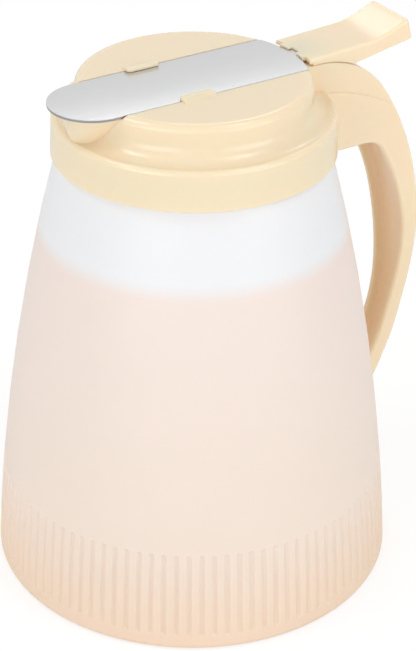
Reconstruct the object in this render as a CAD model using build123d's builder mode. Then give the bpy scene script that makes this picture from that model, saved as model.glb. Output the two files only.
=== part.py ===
from build123d import *
import os
from math import copysign, sqrt

# A syrup dispenser: a translucent jar with a screw-on lid. The lid carries the handle and a steel gate
# that a thumb trigger draws back from the pouring mouth against a spring.
# Millimetres, +Z up. The origin is on the jar's axis at the plane it stands on, +X points at the handle
# and -X at the spout.

# Jar
base_r = 65.6              # widest radius, just above the rounded bottom edge
base_edge = 2.6            # radius of the bottom edge
belly_r = 56.8             # radius of the wall at belly_h
belly_h = 80.3
shoulder_r = 43.0          # radius of the wall where it turns in to the neck
shoulder_h = 144.4
shoulder_edge = 1.2        # radius of the turn
jar_wall = 1.8
foot_width = 6.0           # width of the ring that the jar stands on
push_up = 3.0              # rise of the middle of the bottom
neck_wall = 2.2
neck_h = 9.0               # above the shoulder

# Flutes round the foot of the jar
flute_count = 100
flute_r = 1.15
flute_depth = 0.5
flute_low = 5.4
flute_high = 35.8

# Screw thread between neck and collar
thread_pitch = 5.0
thread_turns = 1.1
thread_start = 2.5         # height of the neck thread's start above the shoulder
thread_depth = 1.9         # how far each ridge stands out
thread_overlap = 0.2       # how far the neck's ridge reaches behind the collar's
thread_root = 1.8          # axial width of a ridge at its root
thread_crest = 1.0         # and at its crest
thread_sink = 0.3          # how deep a ridge is rooted in its wall
thread_lead_in = 0.4       # part of a turn by which the collar's ridge starts later

# Lid: collar, sloping shoulder and raised platform
collar_gap = 0.4           # between the jar's shoulder and the collar's lower edge
collar_r = 44.5
collar_h = 12.7
collar_draft = 0.5         # how much narrower the collar is at its top
collar_wall = 2.3
rim_edge = 1.5             # height of the rounded rim
rim_width = 1.4
platform_set = 7.9         # from the collar's outside in to the platform's wall
platform_h = 11.0
platform_edge = 2.4
cove_h = 5.1               # height of the hollow slope between platform and rim
lid_wall = 2.3
roof_wall = 3.3
roof_edge = 2.6            # inner radius where the roof meets the platform's wall
gasket_t = 1.4
gasket_width = 4.6
gasket_play = 0.4          # between the gasket and the collar's wall

# Spout
beak_reach = 8.9           # how far the lip stands out from the platform
beak_top_r = 13.9
beak_foot_r = 4.8
beak_rake = 2.9            # how much further out the lip is than the foot
beak_wall = 2.3
mouth_r = 11.2
lip_w = 2.5                # land between the mouth and the tip of the lip

# Steel gate and its channel
gate_t = 0.8
gate_w = 27.6
gate_overhang = 3.6        # beyond the lip
gate_set = 1.2             # from the platform's wall in to the gate's rear edge
gate_corner = 1.8
gate_play = 0.4            # at each side
gate_lift = 0.1            # under and over the gate
channel_depth = 1.0
tongue_w = 9.0
tongue_l = 9.2
gate_travel = 12.0

# Tabs that hold the gate down
tab_l = 11.2
tab_overlap = 1.7
tab_h = 1.2
tab_base = 2.4             # how far a tab runs out over the platform
tab_corner = 1.2
tab_round = 0.6            # of a tab's upper edges
tab_crown = 2.2            # width of a tab's flat top
near_tab_x = -7.4
far_tab_x = -10.5

# Handle: a head behind the platform and a grip that curves down beside the jar
head_w = 19.4
head_drop = 1.7            # from the platform's top to the head's top
head_set = 3.0             # from the platform's wall to the crown of the head
head_round = 31.5          # radius of the head's top
head_arc = 56.0            # degrees of it
head_floor = 9.9           # from the collar's lower edge down to the underside of the head
head_front_gap = 2.1       # clearance between the head and the jar
head_corner = 2.4          # radius of the head's lower front corner
grip_out = 38.3            # from the collar to the back of the grip
grip_mid = 55.0            # from the collar's lower edge down to the grip's widest reach
grip_t = 5.7
grip_drop = 107.5          # from the collar's lower edge down to the grip's end
grip_end_gap = 5.3         # from the jar's wall to the back of the grip at its end
grip_low_w = 12.0
taper_top = 36.0           # below the collar's lower edge, where the grip starts to narrow
taper_end = 80.0           # and where it has its least width
blend_out = 34.2           # from the collar to a point on the back, between head and grip
blend_drop = 20.2          # and how far that point is below the collar's lower edge
gap_back = 19.3            # from the collar to the upper corner of the finger gap
gap_round = 8.0            # radius of that corner
grip_edge = 1.0
trough_wall = 2.0          # side walls of the grip's hollow inner face
trough_depth = 3.2
trough_start = 0.88        # share of the upper grip that is hollow
trough_stop = 0.86         # and of the lower grip
trough_round = 1.2
ledge_depth = 0.4          # step on each side of the head
ledge_front_drop = 10.6    # from the head's top down to the step at the platform
ledge_mid_out = 10.5       # from the collar to the middle of the step
ledge_mid_drop = 13.4
ledge_back_out = 27.0
ledge_back_drop = 22.0

# Trigger
trigger_w = 19.2
trigger_gap = 0.35         # above the round top of the head
trigger_front_gap = 0.5    # behind the gate's rear edge
trigger_front_h = 0.6      # above the gate's face at the front
trigger_under = 0.2        # clearance over the channel's floor
trigger_step = 0.8         # from the platform's wall to the step in the trigger's underside
hook_w = 4.2               # of the two teeth left between the notches in the front edge
hook_y = 4.2
notch_depth = 1.4
arm_l = 22.3
arm_rise = 1.2
flare_x = 32.5             # from the trigger's front to a point halfway up the flare
flare_rise = 3.8
tip_x = 37.7               # to the top of the tip
tip_rise = 6.1
tip_run = 0.88             # direction of the flare at the tip
tip_steep = 0.48
end_lean = 1.7             # how far the end face leans back
end_h = 6.8
heel_angle = 26.0          # degrees from the crown of the head to the heel
heel_step = 0.6            # from the heel up to the underside of the arm
tip_corner = 1.0
trigger_edge = 0.8
peg_r = 1.5
peg_play = 0.1
peg_x = 5.5                # from the front edge of the trigger
recess_play = 0.15

# Leg of the trigger, in its pocket in the head
leg_w = 6.6
leg_t = 3.0
leg_play = 0.3
leg_setback = 0.8          # of the leg's front behind the collar's wall
foot_t = 2.0
foot_step = 4.6            # how far the foot stands behind the leg's front
web_h = 1.3                # depth of the web between leg and foot
web_slope_h = 4.9          # and at the leg
pocket_floor = 3.2
pocket_shelf = 2.3         # wall over the collar's lower edge
pocket_l = 19.6            # of the deep part
pocket_roof = 2.6          # wall between the pocket and the head's round top
pocket_over = 3.0          # room over the spring's axis
spring_rise = 3.2          # of that axis over the pocket's floor

# Return spring
spring_r = 2.6             # to the middle of the wire
wire_r = 0.25
spring_turns = 6
spring_play = 0.05         # at each end
turn_points = 36           # per turn, where the gap between turns is measured
stub_r = 1.9
stub_l = 2.0

# Heights and places that follow from the sizes above
shoulder_top = shoulder_h + shoulder_edge
neck_top = shoulder_top + neck_h
collar_z = shoulder_top + collar_gap
rim_z = collar_z + collar_h
platform_z = rim_z + platform_h
channel_z = platform_z - channel_depth
gate_z = channel_z + gate_lift
gate_top = gate_z + gate_t
collar_inner_r = collar_r - collar_wall
neck_r = collar_inner_r - 2 * thread_depth + thread_overlap
platform_r = collar_r - platform_set
gate_rear_r = platform_r - gate_set
inner_r = platform_r - lid_wall
lip_x = -(platform_r + beak_reach)
head_x = platform_r + head_set
head_z = platform_z - head_drop
head_mid_z = head_z - head_round
leg_x = collar_r + leg_setback
foot_x = leg_x + foot_step
pocket_z = collar_z - head_floor + pocket_floor
pocket_rear_x = foot_x - leg_play + pocket_l
spring_z = pocket_z + spring_rise
wall_arc = ThreePointArc((base_r, base_edge), (belly_r, belly_h), (shoulder_r, shoulder_h))


def wall_radius(height):
    """Outer radius of the jar's wall at a height."""
    centre = wall_arc.arc_center
    across = sqrt(wall_arc.radius**2 - (height - centre.Y) ** 2)
    return centre.X + copysign(across, belly_r - centre.X)


def ridge(radius, height, outward, turn):
    """A helical thread ridge on a wall of this radius, from this height and this part of a turn."""
    path = Helix(thread_pitch, thread_pitch * thread_turns, radius, center=(0, 0, height))
    with BuildPart() as made:
        with BuildSketch(Plane(origin=path @ 0, x_dir=(outward, 0, 0), z_dir=path % 0)):
            with BuildLine():
                Polyline(
                    (-thread_sink, -thread_root / 2),
                    (thread_depth, -thread_crest / 2),
                    (thread_depth, thread_crest / 2),
                    (-thread_sink, thread_root / 2),
                    close=True,
                )
            make_face()
        sweep(path=path, is_frenet=True)
    return made.part.rotate(Axis.Z, turn * 360)


# ---------------------------------------------------------------- jar
foot_r = base_r - base_edge
foot_inner_r = foot_r - foot_width
neck_inner_r = neck_r - neck_wall
flute_ends = [
    Vector(wall_radius(height) + flute_r - flute_depth, 0, height)
    for height in (flute_low + flute_r, flute_high - flute_r)
]
flute_line = flute_ends[1] - flute_ends[0]
neck_thread = ridge(neck_r, shoulder_top + thread_start, 1, 0)

with BuildPart() as flute:
    with BuildSketch(Plane(origin=flute_ends[0], z_dir=flute_line)):
        Circle(flute_r)
    extrude(amount=flute_line.length)
    with Locations(flute_ends):
        Sphere(flute_r)

with BuildPart() as jar:
    with BuildSketch(Plane.XZ):
        with BuildLine():
            Polyline((0, push_up), (foot_inner_r - push_up, push_up), (foot_inner_r, 0), (foot_r, 0))
            CenterArc((foot_r, base_edge), base_edge, -90, 90)
            ThreePointArc((base_r, base_edge), (belly_r, belly_h), (shoulder_r, shoulder_h))
            CenterArc((shoulder_r - shoulder_edge, shoulder_h), shoulder_edge, 0, 90)
            Polyline(
                (shoulder_r - shoulder_edge, shoulder_top),
                (neck_r, shoulder_top),
                (neck_r, neck_top),
                (neck_inner_r, neck_top),
                (neck_inner_r, shoulder_top - jar_wall),
                (shoulder_r - jar_wall, shoulder_h - jar_wall),
            )
            ThreePointArc(
                (shoulder_r - jar_wall, shoulder_h - jar_wall),
                (belly_r - jar_wall, belly_h),
                (base_r - jar_wall, base_edge),
            )
            CenterArc((foot_r, base_edge), base_edge - jar_wall, -90, 90)
            Polyline(
                (foot_r, jar_wall),
                (foot_inner_r, jar_wall),
                (foot_inner_r - push_up, push_up + jar_wall),
                (0, push_up + jar_wall),
                (0, push_up),
            )
        make_face()
    revolve(axis=Axis.Z)
    with PolarLocations(0, flute_count):
        add(flute.part, mode=Mode.SUBTRACT)
    add(neck_thread)

# ---------------------------------------------------------------- neck gasket
gasket_r = collar_inner_r - gasket_play

with BuildPart() as neck_gasket:
    with BuildSketch(Plane.XY.offset(neck_top)):
        Circle(gasket_r)
        Circle(gasket_r - gasket_width, mode=Mode.SUBTRACT)
    extrude(amount=gasket_t)

# ---------------------------------------------------------------- handle, moulded with the lid
grip_x = collar_r + grip_out
grip_mid_z = collar_z - grip_mid
grip_inner_x = grip_x - grip_t
grip_end_z = collar_z - grip_drop
grip_end = Vector(wall_radius(grip_end_z) + grip_end_gap, grip_end_z)
head_floor_z = collar_z - head_floor
head_front_x = wall_radius(head_floor_z) + head_front_gap
gap_corner = Vector(collar_r + gap_back, head_floor_z)
inside_x = inner_r - head_w / 2
head_top = CenterArc((head_x, head_mid_z), head_round, 90, -head_arc)
back_low = TangentArc((grip_x, grip_mid_z), grip_end, tangent=(0, -1))
end_way = back_low % 1
grip_inner_end = grip_end + Vector(end_way.Y, -end_way.X) * grip_t
face_low = TangentArc((grip_inner_x, grip_mid_z), grip_inner_end, tangent=(0, -1))
face_high = TangentArc((grip_inner_x, grip_mid_z), gap_corner, tangent=(0, 1))
trough_high = face_high.trim(0, trough_start)
trough_low = face_low.trim(0, trough_stop)

def front_view(inset):
    """Outline of the handle as seen from the jar, this far inside its sides."""
    wide = head_w / 2 - inset
    narrow = grip_low_w / 2 - inset
    with BuildSketch(Plane.YZ) as made:
        with BuildLine():
            side = Spline(
                (wide, collar_z - taper_top),
                (narrow, collar_z - taper_end),
                tangents=[(0, -1), (0, -1)],
            )
            mirror(side, about=Plane.YZ)
            above = head_z + grip_edge
            Polyline(side @ 0, (wide, above), (-wide, above), (-wide, collar_z - taper_top))
            below = grip_end_z - grip_t
            Polyline(side @ 1, (narrow, below), (-narrow, below), (-narrow, collar_z - taper_end))
        make_face()
    return made.sketch


with BuildPart() as handle:
    with BuildSketch(Plane.XZ):
        with BuildLine():
            Line((inside_x, head_z), head_top @ 0)
            add(head_top)
            Spline(
                head_top @ 1,
                (collar_r + blend_out, collar_z - blend_drop),
                (grip_x, grip_mid_z),
                tangents=[head_top % 1, (0, -1)],
            )
            add(back_low)
            Line(grip_end, grip_inner_end)
            add(face_low)
            add(face_high)
            Line(gap_corner, (head_front_x + head_corner, head_floor_z))
            CenterArc(
                (head_front_x + head_corner, head_floor_z + head_corner), head_corner, -90, -90
            )
            Polyline(
                (head_front_x, head_floor_z + head_corner),
                (head_front_x, collar_z),
                (inside_x, collar_z),
                (inside_x, head_z),
            )
        side_face = make_face()
        fillet(side_face.vertices().sort_by_distance(gap_corner)[0], gap_round)
    extrude(amount=head_w / 2, both=True)
    extrude(front_view(0), amount=grip_x + grip_t, mode=Mode.INTERSECT)
    outer_edges = handle.edges().filter_by(
        lambda edge: abs(edge.center().Y) > grip_low_w / 3 and edge.center().X > head_x
    )
    fillet(outer_edges, grip_edge)
    with BuildSketch(Plane.XZ.offset(-head_w / 2), Plane.XZ.offset(head_w / 2)):
        with BuildLine():
            step = ThreePointArc(
                (inside_x, head_z - ledge_front_drop),
                (collar_r + ledge_mid_out, head_z - ledge_mid_drop),
                (collar_r + ledge_back_out, head_z - ledge_back_drop),
            )
            Polyline(step @ 1, (grip_x, (step @ 1).Y), (grip_x, head_z), (inside_x, head_z), step @ 0)
        make_face()
    extrude(amount=ledge_depth, both=True, mode=Mode.SUBTRACT)

with BuildPart() as trough:
    with BuildSketch(Plane.XZ):
        with BuildLine():
            add(trough_high)
            add(trough_low)
            Polyline(
                trough_high @ 1,
                (head_front_x, (trough_high @ 1).Y),
                (head_front_x, (trough_low @ 1).Y),
                trough_low @ 1,
            )
        make_face()
        offset(amount=trough_depth)
    extrude(amount=head_w / 2, both=True)
    extrude(front_view(trough_wall), amount=grip_x + grip_t, mode=Mode.INTERSECT)
    floor_edges = trough.edges().filter_by(
        lambda edge: abs(edge.center().Y) > grip_low_w / 4
        and edge.center().X > gap_corner.X
        and edge.length > trough_depth * 3
    )
    fillet(floor_edges, trough_round)

# ---------------------------------------------------------------- lid
beak_foot_z = rim_z - rim_edge
beak_foot_x = lip_x + beak_rake + beak_foot_r
beak_top_x = lip_x + beak_top_r
beak_share = (rim_z - beak_foot_z) / (channel_z - beak_foot_z)
passage_r = beak_foot_r + (beak_top_r - beak_foot_r) * beak_share - beak_wall
passage_x = beak_foot_x + (beak_top_x - beak_foot_x) * beak_share
mouth_x = lip_x + lip_w + mouth_r
rim_x = collar_r - collar_draft - rim_width
slot_end = leg_x + leg_t + gate_travel + leg_play
pocket_half = leg_w / 2 + leg_play
gate_half = gate_w / 2
channel_half = gate_half + gate_play
tab_inner = gate_half - tab_overlap
tab_low = gate_top + gate_lift
female_start = shoulder_top + thread_start + thread_pitch * (thread_lead_in - 0.5)
collar_thread = ridge(collar_inner_r, female_start, -1, thread_lead_in)
pocket_roof_z = head_mid_z + sqrt((head_round - pocket_roof) ** 2 - (slot_end - head_x) ** 2)

with BuildPart() as tab:
    with BuildSketch(Plane.YZ.offset(-tab_l / 2)):
        Polygon(
            (tab_inner, tab_low),
            (tab_inner, platform_z + tab_h),
            (tab_inner + tab_crown, platform_z + tab_h),
            (channel_half + tab_base, platform_z),
            (channel_half + tab_base, platform_z - channel_depth / 2),
            (channel_half, platform_z - channel_depth / 2),
            (channel_half, tab_low),
            align=None,
        )
    extrude(amount=tab_l)
    fillet(tab.edges().filter_by(Axis.Z).group_by(Axis.Y)[0], tab_corner)
    fillet(tab.faces().sort_by(Axis.Z)[-1].edges(), tab_round)

with BuildPart() as lid:
    with BuildSketch(Plane.XZ):
        with BuildLine():
            Polyline((0, platform_z), (0, collar_z), (collar_r, collar_z))
            Line((collar_r, collar_z), (collar_r - collar_draft, beak_foot_z))
            TangentArc((collar_r - collar_draft, beak_foot_z), (rim_x, rim_z), tangent=(0, 1))
            TangentArc((platform_r, rim_z + cove_h), (rim_x, rim_z), tangent=(0, -1))
            Line((platform_r, rim_z + cove_h), (platform_r, platform_z - platform_edge))
            CenterArc(
                (platform_r - platform_edge, platform_z - platform_edge), platform_edge, 0, 90
            )
            Line((platform_r - platform_edge, platform_z), (0, platform_z))
        make_face()
    revolve(axis=Axis.Z)
    with BuildSketch(Plane.XY.offset(beak_foot_z)):
        with Locations((beak_foot_x, 0)):
            Circle(beak_foot_r)
    with BuildSketch(Plane.XY.offset(channel_z)):
        with Locations((beak_top_x, 0)):
            Circle(beak_top_r)
    loft()
    add(handle.part)
    add(trough.part, mode=Mode.SUBTRACT)
    # the hollow underneath, open to the jar
    with BuildSketch(Plane.XZ):
        with BuildLine():
            Polyline(
                (0, collar_z),
                (collar_inner_r, collar_z),
                (collar_inner_r, neck_top + gasket_t),
                (inner_r, neck_top + gasket_t),
                (inner_r, platform_z - roof_wall - roof_edge),
            )
            CenterArc(
                (inner_r - roof_edge, platform_z - roof_wall - roof_edge), roof_edge, 0, 90
            )
            Polyline(
                (inner_r - roof_edge, platform_z - roof_wall),
                (0, platform_z - roof_wall),
                (0, collar_z),
            )
        make_face()
    revolve(axis=Axis.Z, mode=Mode.SUBTRACT)
    # the spout's passage and its round mouth
    with BuildSketch(Plane.XY.offset(rim_z)):
        with Locations((passage_x, 0)):
            Circle(passage_r)
    with BuildSketch(Plane.XY.offset(channel_z)):
        with Locations((mouth_x, 0)):
            Circle(mouth_r)
    loft(mode=Mode.SUBTRACT)
    # the channel that the gate slides in
    with BuildSketch(Plane.XY.offset(channel_z)):
        Rectangle(4 * collar_r, 2 * channel_half)
    extrude(amount=platform_h, mode=Mode.SUBTRACT)
    # the slot and pocket for the trigger's leg and spring
    with BuildSketch(Plane.XZ):
        with BuildLine():
            Polyline(
                (leg_x - leg_play, head_z),
                (leg_x - leg_play, collar_z + pocket_shelf),
                (foot_x - leg_play, collar_z + pocket_shelf),
                (foot_x - leg_play, pocket_z),
                (pocket_rear_x, pocket_z),
                (pocket_rear_x, spring_z + pocket_over),
                (slot_end, pocket_roof_z),
                (slot_end, head_z),
                close=True,
            )
        make_face()
    extrude(amount=pocket_half, both=True, mode=Mode.SUBTRACT)
    with BuildSketch(Plane.YZ.offset(pocket_rear_x)):
        with Locations((0, spring_z)):
            Circle(stub_r)
    extrude(amount=-stub_l)
    # tabs over the gate's edges
    with Locations((far_tab_x, 0)):
        add(tab.part)
    with Locations(Location((near_tab_x, 0, 0), (0, 0, 180))):
        add(tab.part)
    add(collar_thread)

# ---------------------------------------------------------------- steel gate
gate_tip_x = lip_x - gate_overhang + gate_half
gate_rear_x = sqrt(gate_rear_r**2 - gate_half**2)
trigger_front_x = gate_rear_r + trigger_front_gap
tongue_end = gate_rear_r + tongue_l

with BuildPart() as slide_gate:
    with BuildSketch(Plane.XY.offset(gate_z)):
        with BuildLine():
            Line((gate_tip_x, gate_half), (gate_rear_x, gate_half))
            ThreePointArc((gate_rear_x, gate_half), (gate_rear_r, 0), (gate_rear_x, -gate_half))
            Line((gate_rear_x, -gate_half), (gate_tip_x, -gate_half))
            ThreePointArc((gate_tip_x, -gate_half), (gate_tip_x - gate_half, 0), (gate_tip_x, gate_half))
        gate_face = make_face()
        fillet(gate_face.vertices().group_by(Axis.X)[-1], gate_corner)
        with Locations(((gate_rear_x + tongue_end) / 2, 0)):
            Rectangle(tongue_end - gate_rear_x, tongue_w)
        with Locations((trigger_front_x + peg_x, 0)):
            Circle(peg_r + peg_play, mode=Mode.SUBTRACT)
    extrude(amount=gate_t)

# ---------------------------------------------------------------- trigger
under_z = channel_z + trigger_under
front_top = gate_top + trigger_front_h
front_x = sqrt(trigger_front_x**2 - (trigger_w / 2) ** 2)
arm_end = (trigger_front_x + arm_l, front_top + arm_rise)
flare = (trigger_front_x + flare_x, front_top + flare_rise)
tip = (trigger_front_x + tip_x, front_top + tip_rise)
tip_low = (tip[0] + end_lean, tip[1] - end_h)
shelf_z = collar_z + pocket_shelf + leg_play
foot_rear_x = foot_x + foot_t

with BuildPart() as trigger:
    with BuildSketch(Plane.XZ):
        with BuildLine():
            arm = Line((front_x, front_top), arm_end)
            Spline(arm_end, flare, tip, tangents=[arm % 1, (tip_run, tip_steep)])
            under = CenterArc((head_x, head_mid_z), head_round + trigger_gap, 90, -heel_angle)
            Polyline(tip, tip_low, under @ 1 + Vector(heel_step, heel_step), under @ 1)
            Polyline(
                under @ 0,
                (platform_r + trigger_step, (under @ 0).Y),
                (platform_r + trigger_step, under_z),
                (front_x, under_z),
                (front_x, front_top),
            )
        make_face()
    extrude(amount=trigger_w / 2, both=True)
    end_face = trigger.faces().sort_by(Axis.X)[-1]
    fillet(end_face.edges().filter_by(lambda edge: abs(edge.center().Y) > trigger_w / 3), tip_corner)
    rim = trigger.edges().filter_by(
        lambda edge: edge.center().X > trigger_front_x and edge.center().Z > front_top
    )
    fillet(rim.filter_by(lambda edge: abs((edge % 0.5).Z) < 0.9), trigger_edge)
    # the round front edge, a step behind the gate, with its notches
    with BuildSketch(Plane.XY.offset(under_z - trigger_gap)):
        Circle(trigger_front_x + notch_depth)
        with Locations((0, hook_y), (0, -hook_y)):
            Rectangle(4 * collar_r, hook_w, mode=Mode.SUBTRACT)
        Circle(trigger_front_x)
    extrude(amount=platform_h, mode=Mode.SUBTRACT)
    # the recess for the gate's tongue, and the peg that it hooks on
    with BuildSketch(Plane.XY.offset(under_z - trigger_gap)):
        with Locations((tongue_end / 2, 0)):
            Rectangle(tongue_end + 2 * recess_play, tongue_w + 2 * recess_play)
    extrude(amount=gate_top + gate_lift - (under_z - trigger_gap), mode=Mode.SUBTRACT)
    with BuildSketch(Plane.XY.offset(gate_z)):
        with Locations((trigger_front_x + peg_x, 0)):
            Circle(peg_r)
    extrude(amount=gate_t + gate_lift)
    # the leg and its foot
    with BuildSketch(Plane.XZ):
        with BuildLine():
            Polyline(
                (leg_x, gate_top),
                (leg_x, shelf_z),
                (foot_x, shelf_z),
                (foot_x, pocket_z + leg_play),
                (foot_rear_x, pocket_z + leg_play),
                (foot_rear_x, shelf_z + web_h),
                (leg_x + leg_t, shelf_z + web_slope_h),
                (leg_x + leg_t, gate_top),
                close=True,
            )
        make_face()
    extrude(amount=leg_w / 2, both=True)
    with BuildSketch(Plane.YZ.offset(foot_rear_x)):
        with Locations((0, spring_z)):
            Circle(stub_r)
    extrude(amount=stub_l)

# ---------------------------------------------------------------- return spring
spring_start = foot_rear_x + spring_play + wire_r
spring_l = pocket_rear_x - spring_play - wire_r - spring_start
spring_pitch = spring_l / spring_turns
coil = Helix(spring_pitch, spring_l, spring_r, center=(spring_start, 0, spring_z), direction=(1, 0, 0))
coil_points = [coil @ (step / (turn_points * spring_turns)) for step in range(turn_points * spring_turns + 1)]
turn_gap = min(
    (there - here).length
    for start, here in enumerate(coil_points)
    for there in coil_points[start + turn_points // 2 :]
)
print("least gap between the spring's turns:", round(turn_gap - 2 * wire_r, 2), "mm")

with BuildPart() as return_spring:
    with BuildSketch(Plane(origin=coil @ 0, z_dir=coil % 0)):
        Circle(wire_r)
    sweep(path=coil, is_frenet=True)

# ---------------------------------------------------------------- files
os.makedirs("parts", exist_ok=True)
pieces = {
    "jar": jar,
    "neck_gasket": neck_gasket,
    "lid": lid,
    "slide_gate": slide_gate,
    "trigger": trigger,
    "return_spring": return_spring,
}
for name, piece in pieces.items():
    piece.part.label = name
    export_step(piece.part, f"parts/{name}.step")
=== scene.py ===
from math import radians

import bmesh
import bpy
from mathutils import Matrix, Vector


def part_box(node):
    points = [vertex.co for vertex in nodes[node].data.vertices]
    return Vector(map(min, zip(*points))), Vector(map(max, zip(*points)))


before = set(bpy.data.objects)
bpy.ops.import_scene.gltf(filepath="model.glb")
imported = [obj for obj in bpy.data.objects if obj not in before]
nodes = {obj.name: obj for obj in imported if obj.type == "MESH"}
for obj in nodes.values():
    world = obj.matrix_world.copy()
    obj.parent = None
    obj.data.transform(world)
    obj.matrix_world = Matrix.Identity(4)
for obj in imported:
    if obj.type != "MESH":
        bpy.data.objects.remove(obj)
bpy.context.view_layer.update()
scene = bpy.context.scene

# The jar is blow-moulded from milky polypropylene, which lets the syrup inside show through as a warm
# tint up to the level that it is filled to. The tint is made deeper towards the foot. It has a band of
# upright flutes near its foot and a screw thread on its neck.
jar_clear = (0.88, 0.88, 0.89)
# share of the filled height, and the tint there
syrup_tints = ((0, (0.91, 0.695, 0.535)), (0.3, (0.915, 0.77, 0.67)), (1, (0.91, 0.78, 0.72)))
jar_roughness = 0.42
jar_scatter = 0.3
jar_scatter_tint = (1, 0.8, 0.65)
jar_scatter_depth = 0.003
fill_level = 0.1205
fill_blur = 0.0035

# What the mould leaves on every plastic piece here: faint flow marks in the colour, patches that are
# a little duller, and a very fine grain.
flow_scale = 28
flow_saturation = 1.25
flow_value = 0.93
dull_scale = 75
dull_low = 0.92
dull_high = 1.12
grain_scale = 2400
grain_height = 0.0001
# a colour mix's sockets: its first colour, its second colour and its result
mix_first = 6
mix_second = 7
mix_result = 2
mould_marks = bpy.data.node_groups.new("mould_marks", "ShaderNodeTree")
for socket, kind in (("Tint", "Color"), ("Drift", "Float"), ("Roughness", "Float"), ("Grain", "Float")):
    mould_marks.interface.new_socket(socket, in_out="INPUT", socket_type="NodeSocket" + kind)
for socket, kind in (("Color", "Color"), ("Roughness", "Float"), ("Normal", "Vector")):
    mould_marks.interface.new_socket(socket, in_out="OUTPUT", socket_type="NodeSocket" + kind)
given = mould_marks.nodes.new("NodeGroupInput")
result = mould_marks.nodes.new("NodeGroupOutput")
place = mould_marks.nodes.new("ShaderNodeTexCoord")

flow = mould_marks.nodes.new("ShaderNodeTexNoise")
flow.inputs["Scale"].default_value = flow_scale
flow.inputs["Detail"].default_value = 3
mould_marks.links.new(place.outputs["Object"], flow.inputs["Vector"])
flow_depth = mould_marks.nodes.new("ShaderNodeMath")
flow_depth.operation = "MULTIPLY"
mould_marks.links.new(flow.outputs["Fac"], flow_depth.inputs[0])
mould_marks.links.new(given.outputs["Drift"], flow_depth.inputs[1])
deeper = mould_marks.nodes.new("ShaderNodeHueSaturation")
deeper.inputs["Saturation"].default_value = flow_saturation
deeper.inputs["Value"].default_value = flow_value
mould_marks.links.new(given.outputs["Tint"], deeper.inputs["Color"])
tinted = mould_marks.nodes.new("ShaderNodeMix")
tinted.data_type = "RGBA"
mould_marks.links.new(flow_depth.outputs[0], tinted.inputs["Factor"])
mould_marks.links.new(given.outputs["Tint"], tinted.inputs[mix_first])
mould_marks.links.new(deeper.outputs["Color"], tinted.inputs[mix_second])
mould_marks.links.new(tinted.outputs[mix_result], result.inputs["Color"])

duller = mould_marks.nodes.new("ShaderNodeTexNoise")
duller.inputs["Scale"].default_value = dull_scale
duller.inputs["Detail"].default_value = 4
mould_marks.links.new(place.outputs["Object"], duller.inputs["Vector"])
dull_share = mould_marks.nodes.new("ShaderNodeMapRange")
dull_share.inputs["From Min"].default_value = 0.3
dull_share.inputs["From Max"].default_value = 0.7
dull_share.inputs["To Min"].default_value = dull_low
dull_share.inputs["To Max"].default_value = dull_high
mould_marks.links.new(duller.outputs["Fac"], dull_share.inputs["Value"])
roughness = mould_marks.nodes.new("ShaderNodeMath")
roughness.operation = "MULTIPLY"
mould_marks.links.new(dull_share.outputs["Result"], roughness.inputs[0])
mould_marks.links.new(given.outputs["Roughness"], roughness.inputs[1])
mould_marks.links.new(roughness.outputs[0], result.inputs["Roughness"])

grain = mould_marks.nodes.new("ShaderNodeTexNoise")
grain.inputs["Scale"].default_value = grain_scale
grain.inputs["Detail"].default_value = 1
mould_marks.links.new(place.outputs["Object"], grain.inputs["Vector"])
grain_relief = mould_marks.nodes.new("ShaderNodeBump")
grain_relief.inputs["Distance"].default_value = grain_height
mould_marks.links.new(given.outputs["Grain"], grain_relief.inputs["Strength"])
mould_marks.links.new(grain.outputs["Fac"], grain_relief.inputs["Height"])
mould_marks.links.new(grain_relief.outputs["Normal"], result.inputs["Normal"])


def plastic(name, tint, drift, dullness, grain_depth):
    """A moulded plastic, with its shader, its mould marks and the links between them."""
    made = bpy.data.materials.new(name)
    made.use_nodes = True
    tree = made.node_tree
    shader = tree.nodes["Principled BSDF"]
    marks = tree.nodes.new("ShaderNodeGroup")
    marks.node_tree = mould_marks
    marks.inputs["Tint"].default_value = (*tint, 1)
    marks.inputs["Drift"].default_value = drift
    marks.inputs["Roughness"].default_value = dullness
    marks.inputs["Grain"].default_value = grain_depth
    tree.links.new(marks.outputs["Color"], shader.inputs["Base Color"])
    tree.links.new(marks.outputs["Roughness"], shader.inputs["Roughness"])
    tree.links.new(marks.outputs["Normal"], shader.inputs["Normal"])
    return tree, shader, marks, made


def dress(name, finish):
    """Give a piece its finish, in place of the plain one that it came with."""
    nodes[name].data.materials.clear()
    nodes[name].data.materials.append(finish)


tree, shader, marks, jar_finish = plastic("milky_polypropylene", jar_clear, 0.25, jar_roughness, 0.1)
shader.inputs["Subsurface Weight"].default_value = jar_scatter
shader.inputs["Subsurface Radius"].default_value = jar_scatter_tint
shader.inputs["Subsurface Scale"].default_value = jar_scatter_depth
place = tree.nodes.new("ShaderNodeTexCoord")
height = tree.nodes.new("ShaderNodeSeparateXYZ")
tree.links.new(place.outputs["Object"], height.inputs["Vector"])
filled_height = tree.nodes.new("ShaderNodeMapRange")
filled_height.inputs["From Max"].default_value = fill_level
tree.links.new(height.outputs["Z"], filled_height.inputs["Value"])
warm = tree.nodes.new("ShaderNodeValToRGB")
warm.color_ramp.elements.new(syrup_tints[1][0])
for stop, (share, tint) in zip(warm.color_ramp.elements, syrup_tints):
    stop.position = share
    stop.color = (*tint, 1)
tree.links.new(filled_height.outputs["Result"], warm.inputs["Fac"])
empty_share = tree.nodes.new("ShaderNodeMapRange")
empty_share.interpolation_type = "SMOOTHSTEP"
empty_share.inputs["From Min"].default_value = fill_level - fill_blur
empty_share.inputs["From Max"].default_value = fill_level + fill_blur
tree.links.new(height.outputs["Z"], empty_share.inputs["Value"])
filled = tree.nodes.new("ShaderNodeMix")
filled.data_type = "RGBA"
filled.inputs[mix_second].default_value = (*jar_clear, 1)
tree.links.new(empty_share.outputs["Result"], filled.inputs["Factor"])
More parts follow.
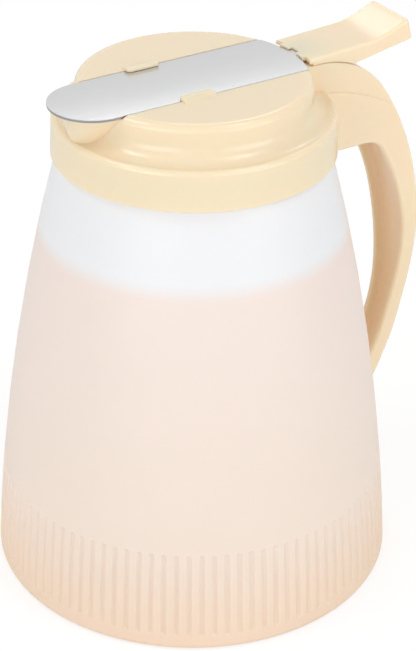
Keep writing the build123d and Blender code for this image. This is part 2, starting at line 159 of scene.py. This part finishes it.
tree.links.new(warm.outputs["Color"], filled.inputs[mix_first])
tree.links.new(filled.outputs[mix_result], marks.inputs["Tint"])
dress("jar", jar_finish)

# The neck gasket is a flat ring of white silicone rubber, laid in the lid, where the jar's neck
# presses it when the lid is screwed down.
rubber_white = (0.82, 0.81, 0.78)
gasket_finish = plastic("silicone_rubber", rubber_white, 0.3, 0.6, 0.2)[-1]
dress("neck_gasket", gasket_finish)

# The lid is one injection moulding of cream plastic: collar, sloping shoulder, raised platform, beak,
# handle and the two tabs that hold the gate down. It is glossy and lets a little warm light through.
cream = (0.965, 0.775, 0.555)
cream_scatter = 0.35
cream_scatter_tint = (1, 0.45, 0.2)
cream_scatter_depth = 0.006
_, shader, _, lid_finish = plastic("cream_plastic", cream, 0.2, 0.17, 0.04)
shader.inputs["Subsurface Weight"].default_value = cream_scatter
shader.inputs["Subsurface Radius"].default_value = cream_scatter_tint
shader.inputs["Subsurface Scale"].default_value = cream_scatter_depth
dress("lid", lid_finish)

# The gate is a strip of stainless steel sheet with a round front, brushed along its length. Its edges
# and underside carry painted shade, a darker colour from a thin band under its top face down. It slides
# in the channel across the platform. Its solid is flat, and the slight crown across it is made here, in
# its finish.
steel_tint = (0.56, 0.56, 0.565)
steel_spread = 0.03
steel_smoothest = 0.2
steel_roughest = 0.28
steel_crown = 0.0004
# painted shade: the darker colour of the sheet's edges and underside, and how far below its top face it
# starts
edge_shade_tint = (0.36, 0.36, 0.37)
edge_shade_depth = 0.0001
brushing_scale = (35, 2600, 2600)
brushing_relief = 0.01
gate_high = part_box("slide_gate")[1]
gate_finish = bpy.data.materials.new("brushed_steel")
gate_finish.use_nodes = True
tree = gate_finish.node_tree
shader = tree.nodes["Principled BSDF"]
shader.inputs["Metallic"].default_value = 1
place = tree.nodes.new("ShaderNodeTexCoord")
across = tree.nodes.new("ShaderNodeSeparateXYZ")
tree.links.new(place.outputs["Object"], across.inputs["Vector"])
stretch = tree.nodes.new("ShaderNodeMapping")
stretch.inputs["Scale"].default_value = brushing_scale
tree.links.new(place.outputs["Object"], stretch.inputs["Vector"])
brushing = tree.nodes.new("ShaderNodeTexNoise")
brushing.inputs["Scale"].default_value = 1
brushing.inputs["Detail"].default_value = 3
tree.links.new(stretch.outputs["Vector"], brushing.inputs["Vector"])
steel_colour = tree.nodes.new("ShaderNodeMix")
steel_colour.data_type = "RGBA"
steel_colour.inputs[mix_first].default_value = (*[part * (1 - steel_spread) for part in steel_tint], 1)
steel_colour.inputs[mix_second].default_value = (*[part * (1 + steel_spread) for part in steel_tint], 1)
tree.links.new(brushing.outputs["Fac"], steel_colour.inputs["Factor"])
# below the top face the colour turns to the painted shade of the edges and underside
edge_shade_share = tree.nodes.new("ShaderNodeMapRange")
edge_shade_share.inputs["From Min"].default_value = gate_high[2] - 2 * edge_shade_depth
edge_shade_share.inputs["From Max"].default_value = gate_high[2] - edge_shade_depth
tree.links.new(across.outputs["Z"], edge_shade_share.inputs["Value"])
edge_shaded_colour = tree.nodes.new("ShaderNodeMix")
edge_shaded_colour.data_type = "RGBA"
edge_shaded_colour.inputs[mix_first].default_value = (*edge_shade_tint, 1)
tree.links.new(edge_shade_share.outputs["Result"], edge_shaded_colour.inputs["Factor"])
tree.links.new(steel_colour.outputs[mix_result], edge_shaded_colour.inputs[mix_second])
tree.links.new(edge_shaded_colour.outputs[mix_result], shader.inputs["Base Color"])
steel_roughness = tree.nodes.new("ShaderNodeMapRange")
steel_roughness.inputs["To Min"].default_value = steel_smoothest
steel_roughness.inputs["To Max"].default_value = steel_roughest
tree.links.new(brushing.outputs["Fac"], steel_roughness.inputs["Value"])
tree.links.new(steel_roughness.outputs["Result"], shader.inputs["Roughness"])
across_share = tree.nodes.new("ShaderNodeMath")
across_share.operation = "DIVIDE"
across_share.inputs[1].default_value = gate_high[1]
tree.links.new(across.outputs["Y"], across_share.inputs[0])
crown = tree.nodes.new("ShaderNodeMath")
crown.operation = "MULTIPLY"
tree.links.new(across_share.outputs[0], crown.inputs[0])
tree.links.new(across_share.outputs[0], crown.inputs[1])
relief = tree.nodes.new("ShaderNodeMath")
relief.operation = "MULTIPLY_ADD"
relief.inputs[1].default_value = brushing_relief
tree.links.new(brushing.outputs["Fac"], relief.inputs[0])
fallen = tree.nodes.new("ShaderNodeMath")
fallen.operation = "SUBTRACT"
fallen.inputs[0].default_value = 1
tree.links.new(crown.outputs[0], fallen.inputs[1])
tree.links.new(fallen.outputs[0], relief.inputs[2])
steel_relief = tree.nodes.new("ShaderNodeBump")
steel_relief.inputs["Distance"].default_value = steel_crown
tree.links.new(relief.outputs[0], steel_relief.inputs["Height"])
tree.links.new(steel_relief.outputs["Normal"], shader.inputs["Normal"])
dress("slide_gate", gate_finish)

# The trigger is moulded from the same cream plastic as the lid. Its peg hooks the gate's tongue, and
# its leg reaches down into the head of the handle.
dress("trigger", lid_finish)

# The return spring is wound from drawn steel wire, finely mottled by the drawing. It sits in the
# handle's head and pushes the trigger forward.
wire_dark = (0.45, 0.45, 0.46)
wire_light = (0.62, 0.61, 0.6)
wire_smoothest = 0.25
wire_roughest = 0.4
drawing_scale = 1800
wire_finish = bpy.data.materials.new("spring_wire")
wire_finish.use_nodes = True
tree = wire_finish.node_tree
shader = tree.nodes["Principled BSDF"]
shader.inputs["Metallic"].default_value = 1
place = tree.nodes.new("ShaderNodeTexCoord")
drawing = tree.nodes.new("ShaderNodeTexNoise")
drawing.inputs["Scale"].default_value = drawing_scale
drawing.inputs["Detail"].default_value = 2
tree.links.new(place.outputs["Object"], drawing.inputs["Vector"])
wire_colour = tree.nodes.new("ShaderNodeMix")
wire_colour.data_type = "RGBA"
wire_colour.inputs[mix_first].default_value = (*wire_dark, 1)
wire_colour.inputs[mix_second].default_value = (*wire_light, 1)
tree.links.new(drawing.outputs["Fac"], wire_colour.inputs["Factor"])
tree.links.new(wire_colour.outputs[mix_result], shader.inputs["Base Color"])
wire_roughness = tree.nodes.new("ShaderNodeMapRange")
wire_roughness.inputs["To Min"].default_value = wire_smoothest
wire_roughness.inputs["To Max"].default_value = wire_roughest
tree.links.new(drawing.outputs["Fac"], wire_roughness.inputs["Value"])
tree.links.new(wire_roughness.outputs["Result"], shader.inputs["Roughness"])
dress("return_spring", wire_finish)

# The studio: a white floor that keeps a light shadow of the jar, and an even white surround. Two soft
# lamps hang high at the left and right, one behind is mirrored by the steel, and two large ones fill
# in from the front.
floor_half = 3
floor_white = 0.92
seen_grey = 0.35
seen_glow_strength = 0.7
surround_light = 0.55
surround_shown = 1
lamp_aim = Vector((0, 0, 0.12))
floor_finish = bpy.data.materials.new("white_floor")
floor_finish.use_nodes = True
tree = floor_finish.node_tree
shader = tree.nodes["Principled BSDF"]
shader.inputs["Base Color"].default_value = (floor_white, floor_white, floor_white, 1)
shader.inputs["Roughness"].default_value = 0.9
shader.inputs["Specular IOR Level"].default_value = 0
seen_floor = tree.nodes.new("ShaderNodeBsdfDiffuse")
seen_floor.inputs["Color"].default_value = (seen_grey, seen_grey, seen_grey, 1)
seen_glow = tree.nodes.new("ShaderNodeEmission")
seen_glow.inputs["Strength"].default_value = seen_glow_strength
seen = tree.nodes.new("ShaderNodeAddShader")
tree.links.new(seen_floor.outputs[0], seen.inputs[0])
tree.links.new(seen_glow.outputs[0], seen.inputs[1])
ray = tree.nodes.new("ShaderNodeLightPath")
choice = tree.nodes.new("ShaderNodeMixShader")
tree.links.new(ray.outputs["Is Camera Ray"], choice.inputs["Fac"])
tree.links.new(shader.outputs["BSDF"], choice.inputs[1])
tree.links.new(seen.outputs[0], choice.inputs[2])
tree.links.new(choice.outputs[0], tree.nodes["Material Output"].inputs["Surface"])
shape = bmesh.new()
bmesh.ops.create_grid(shape, x_segments=1, y_segments=1, size=floor_half)
floor = bpy.data.objects.new("floor", bpy.data.meshes.new("floor"))
shape.to_mesh(floor.data)
shape.free()
floor.data.materials.append(floor_finish)
scene.collection.objects.link(floor)

surround = bpy.data.worlds.new("surround")
surround.use_nodes = True
tree = surround.node_tree
lit = tree.nodes["Background"]
lit.inputs["Color"].default_value = (1, 1, 1, 1)
lit.inputs["Strength"].default_value = surround_light
shown = tree.nodes.new("ShaderNodeBackground")
shown.inputs["Color"].default_value = (1, 1, 1, 1)
shown.inputs["Strength"].default_value = surround_shown
ray = tree.nodes.new("ShaderNodeLightPath")
sharp = tree.nodes.new("ShaderNodeMath")
sharp.operation = "MAXIMUM"
tree.links.new(ray.outputs["Is Glossy Ray"], sharp.inputs[0])
tree.links.new(ray.outputs["Is Transmission Ray"], sharp.inputs[1])
seen_ray = tree.nodes.new("ShaderNodeMath")
seen_ray.operation = "MAXIMUM"
tree.links.new(ray.outputs["Is Camera Ray"], seen_ray.inputs[0])
tree.links.new(sharp.outputs[0], seen_ray.inputs[1])
choice = tree.nodes.new("ShaderNodeMixShader")
tree.links.new(seen_ray.outputs[0], choice.inputs["Fac"])
tree.links.new(lit.outputs[0], choice.inputs[1])
tree.links.new(shown.outputs[0], choice.inputs[2])
tree.links.new(choice.outputs[0], tree.nodes["World Output"].inputs["Surface"])
scene.world = surround

for name, place, width, height, power in (
    ("left_softbox", (-0.62, 0.2, 1.05), 0.36, 0.36, 1.8),
    ("right_softbox", (0.31, -0.5, 1.1), 0.36, 0.36, 1.6),
    ("back_softbox", (0.475, 0.755, 0.97), 0.7, 0.25, 1.7),
    ("left_fill", (-1.17, -0.56, 0.4), 0.9, 0.6, 4.3),
    ("right_fill", (0.45, -1.15, 0.35), 0.9, 0.6, 3.5),
):
    lamp = bpy.data.objects.new(name, bpy.data.lights.new(name, "AREA"))
    lamp.data.shape = "RECTANGLE"
    lamp.data.size = width
    lamp.data.size_y = height
    lamp.data.energy = power
    lamp.location = place
    lamp.rotation_euler = (lamp_aim - lamp.location).to_track_quat("-Z", "Y").to_euler()
    scene.collection.objects.link(lamp)

# The camera looks down on the lid, with the beak at its left and the handle at its right.
camera_place = (-0.30672, -0.49629, 0.42715)
camera_look = Vector((0.45848, 0.72806, -0.50963))
camera_roll = radians(0.565)
camera = bpy.data.objects.new("camera", bpy.data.cameras.new("camera"))
scene.collection.objects.link(camera)
camera.data.lens = 115.27
camera.data.clip_start = 0.05
camera.location = camera_place
camera.matrix_world = Matrix.Translation(camera.location) @ (
    camera_look.to_track_quat("-Z", "Y").to_matrix() @ Matrix.Rotation(camera_roll, 3, "Z")
).to_4x4()
scene.camera = camera
scene.view_settings.view_transform = "Standard"
